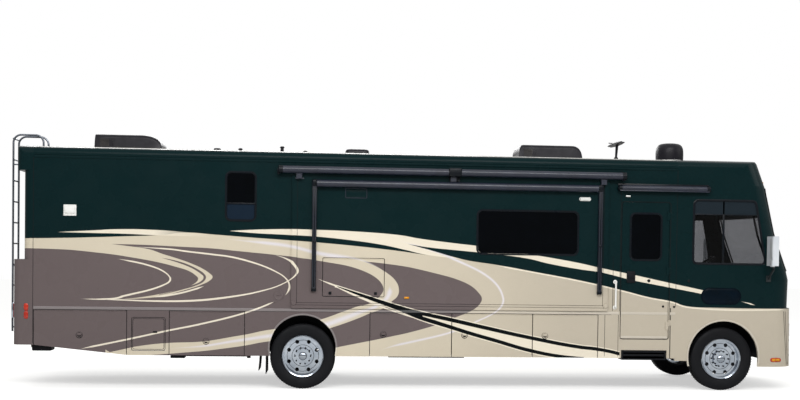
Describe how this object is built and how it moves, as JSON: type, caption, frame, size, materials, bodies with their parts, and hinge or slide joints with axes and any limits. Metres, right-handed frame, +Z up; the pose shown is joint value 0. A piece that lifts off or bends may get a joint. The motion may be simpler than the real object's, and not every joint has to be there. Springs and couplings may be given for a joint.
{
  "type": "motorhome",
  "caption": "Front-engine class A motorhome with slide-out room, entry door, awnings, lift-up bay doors, steered front wheels and twin rear wheels",
  "frame": {"origin": "on the ground, midway between the ladder's rails and the nose and between the mirrors", "axes": "+X forward, +Y to the vehicle's left, +Z up"},
  "size_m": [11.55, 3.2, 3.738],
  "materials": {
    "black_steel": "satin",
    "grey_iron": "rough",
    "floor_board": "matt",
    "green_paint": "gloss",
    "white_roof": "satin",
    "beige_paint": "gloss",
    "tinted_glass": "polished",
    "clear_lens": "polished",
    "red_lens": "gloss",
    "black_plastic": "matt",
    "grey_plastic": "matt",
    "seat_cloth": "woven",
    "awning_metal": "satin",
    "dark_shroud": "satin",
    "bare_aluminium": "satin",
    "mirror_shell": "gloss",
    "exhaust_steel": "dull",
    "chrome_trim": "polished",
    "tyre_rubber": "matt"
  },
  "bodies": {
    "coach": {"frame_rails": "black_steel", "crossmembers": "black_steel", "hitch_receiver": "black_steel", "engine": "grey_iron", "front_axle": "black_steel", "rear_axle": "black_steel", "floor": "floor_board", "left_wall": "green_paint", "right_wall": "green_paint", "roof": "white_roof", "rear_cap": "green_paint", "front_cap": "green_paint", "front_fascia": "beige_paint", "windshield": "tinted_glass", "side_glass": "tinted_glass", "headlamps": "clear_lens", "tail_lamps": "red_lens", "wheel_liners": "black_plastic", "storage_bays": "black_plastic", "entry_steps": "black_plastic", "dashboard": "grey_plastic", "cab_seats": "seat_cloth", "door_awning": "awning_metal", "air_conditioners": "dark_shroud", "roof_fittings": "dark_shroud", "satellite_dome": "dark_shroud", "roof_ladder": "bare_aluminium", "ladder_rungs": "bare_aluminium", "mirrors": "mirror_shell", "exhaust_pipe": "exhaust_steel"},
    "front_left_steering": {"front_left_knuckle": "grey_iron"},
    "front_right_steering": {"front_right_knuckle": "grey_iron"},
    "front_left_wheel_body": {"front_left_wheel": "chrome_trim", "front_left_tyre": "tyre_rubber"},
    "front_right_wheel_body": {"front_right_wheel": "chrome_trim", "front_right_tyre": "tyre_rubber"},
    "rear_left_twin": {"rear_left_wheels": "chrome_trim", "rear_left_tyres": "tyre_rubber"},
    "rear_right_twin": {"rear_right_wheels": "chrome_trim", "rear_right_tyres": "tyre_rubber"},
    "steering_wheel_body": {"steering_wheel": "grey_plastic"},
    "entry_door_body": {"entry_door": "green_paint", "entry_door_glass": "tinted_glass"},
    "slide_out": {"slide_room": "green_paint", "slide_glass": "tinted_glass", "slide_awnings": "awning_metal"},
    "cabinet_door_body": {"cabinet_door": "green_paint"},
    "utility_hatch_body": {"utility_hatch": "green_paint"},
    "right_rear_bay_door_body": {"right_rear_bay_door": "green_paint"},
    "right_aft_bay_door_body": {"right_aft_bay_door": "green_paint"},
    "right_middle_bay_door_1_body": {"right_middle_bay_door_1": "green_paint"},
    "right_middle_bay_door_2_body": {"right_middle_bay_door_2": "green_paint"},
    "right_middle_bay_door_3_body": {"right_middle_bay_door_3": "green_paint"},
    "left_rear_bay_door_body": {"left_rear_bay_door": "green_paint"},
    "left_aft_bay_door_body": {"left_aft_bay_door": "green_paint"},
    "left_middle_bay_door_1_body": {"left_middle_bay_door_1": "green_paint"},
    "left_middle_bay_door_2_body": {"left_middle_bay_door_2": "green_paint"}
  },
  "joints": [
    {"name": "front_left_steer", "type": "hinge", "parent": "coach", "child": "front_left_steering", "pos_m": [4.542, 0.935, 0.465], "axis": [0, 0, 1], "range_deg": [-35, 35]},
    {"name": "front_left_spin", "type": "hinge", "parent": "front_left_steering", "child": "front_left_wheel_body", "pos_m": [4.542, 1.085, 0.465], "axis": [0, 1, 0], "continuous": true},
    {"name": "rear_left_spin", "type": "hinge", "parent": "coach", "child": "rear_left_twin", "pos_m": [-1.605, 0.935, 0.465], "axis": [0, 1, 0], "continuous": true},
    {"name": "front_right_steer", "type": "hinge", "parent": "coach", "child": "front_right_steering", "pos_m": [4.542, -0.935, 0.465], "axis": [0, 0, 1], "range_deg": [-35, 35]},
    {"name": "front_right_spin", "type": "hinge", "parent": "front_right_steering", "child": "front_right_wheel_body", "pos_m": [4.542, -1.085, 0.465], "axis": [0, 1, 0], "continuous": true},
    {"name": "rear_right_spin", "type": "hinge", "parent": "coach", "child": "rear_right_twin", "pos_m": [-1.605, -0.935, 0.465], "axis": [0, 1, 0], "continuous": true},
    {"name": "steering_wheel_turn", "type": "hinge", "parent": "coach", "child": "steering_wheel_body", "pos_m": [4.802, 0.54, 1.83], "axis": [-0.6157, 0, 0.788], "range_deg": [-490, 490]},
    {"name": "entry_door_hinge", "type": "hinge", "parent": "coach", "child": "entry_door_body", "pos_m": [3.702, -1.2833, 1.755], "axis": [0, 0, 1], "range_deg": [0, 170]},
    {"name": "slide_out_travel", "type": "slide", "parent": "coach", "child": "slide_out", "axis": [0, -1, 0], "range_m": [0, 0.6]},
    {"name": "cabinet_door_hinge", "type": "hinge", "parent": "slide_out", "child": "cabinet_door_body", "pos_m": [-0.905, -1.3, 1.8687], "axis": [1, 0, 0], "range_deg": [-95, 0]},
    {"name": "right_rear_bay_hinge", "type": "hinge", "parent": "coach", "child": "right_rear_bay_door_body", "pos_m": [-4.695, -1.275, 1.0937], "axis": [1, 0, 0], "range_deg": [-95, 0]},
    {"name": "right_aft_bay_hinge", "type": "hinge", "parent": "coach", "child": "right_aft_bay_door_body", "pos_m": [-2.95, -1.275, 1.0937], "axis": [1, 0, 0], "range_deg": [-95, 0]},
    {"name": "left_rear_bay_hinge", "type": "hinge", "parent": "coach", "child": "left_rear_bay_door_body", "pos_m": [-4.695, 1.275, 1.0937], "axis": [1, 0, 0], "range_deg": [0, 95]},
    {"name": "left_aft_bay_hinge", "type": "hinge", "parent": "coach", "child": "left_aft_bay_door_body", "pos_m": [-2.95, 1.275, 1.0937], "axis": [1, 0, 0], "range_deg": [0, 95]},
    {"name": "right_middle_bay_1_hinge", "type": "hinge", "parent": "coach", "child": "right_middle_bay_door_1_body", "pos_m": [-0.0665, -1.275, 1.0937], "axis": [1, 0, 0], "range_deg": [-95, 0]},
    {"name": "right_middle_bay_2_hinge", "type": "hinge", "parent": "coach", "child": "right_middle_bay_door_2_body", "pos_m": [1.1105, -1.275, 1.0937], "axis": [1, 0, 0], "range_deg": [-95, 0]},
    {"name": "right_middle_bay_3_hinge", "type": "hinge", "parent": "coach", "child": "right_middle_bay_door_3_body", "pos_m": [2.1805, -1.275, 1.0937], "axis": [1, 0, 0], "range_deg": [-95, 0]},
    {"name": "left_middle_bay_1_hinge", "type": "hinge", "parent": "coach", "child": "left_middle_bay_door_1_body", "pos_m": [0.17425, 1.275, 1.0937], "axis": [1, 0, 0], "range_deg": [0, 95]},
    {"name": "left_middle_bay_2_hinge", "type": "hinge", "parent": "coach", "child": "left_middle_bay_door_2_body", "pos_m": [1.83275, 1.275, 1.0937], "axis": [1, 0, 0], "range_deg": [0, 95]},
    {"name": "utility_hatch_hinge", "type": "hinge", "parent": "coach", "child": "utility_hatch_body", "pos_m": [-3.761, -1.275, 0.9957], "axis": [1, 0, 0], "range_deg": [-95, 0]}
  ],
  "couplings": [
    {"joint": "front_right_steer", "follows": "front_left_steer", "ratio": 1},
    {"joint": "steering_wheel_turn", "follows": "front_left_steer", "ratio": 14}
  ]
}
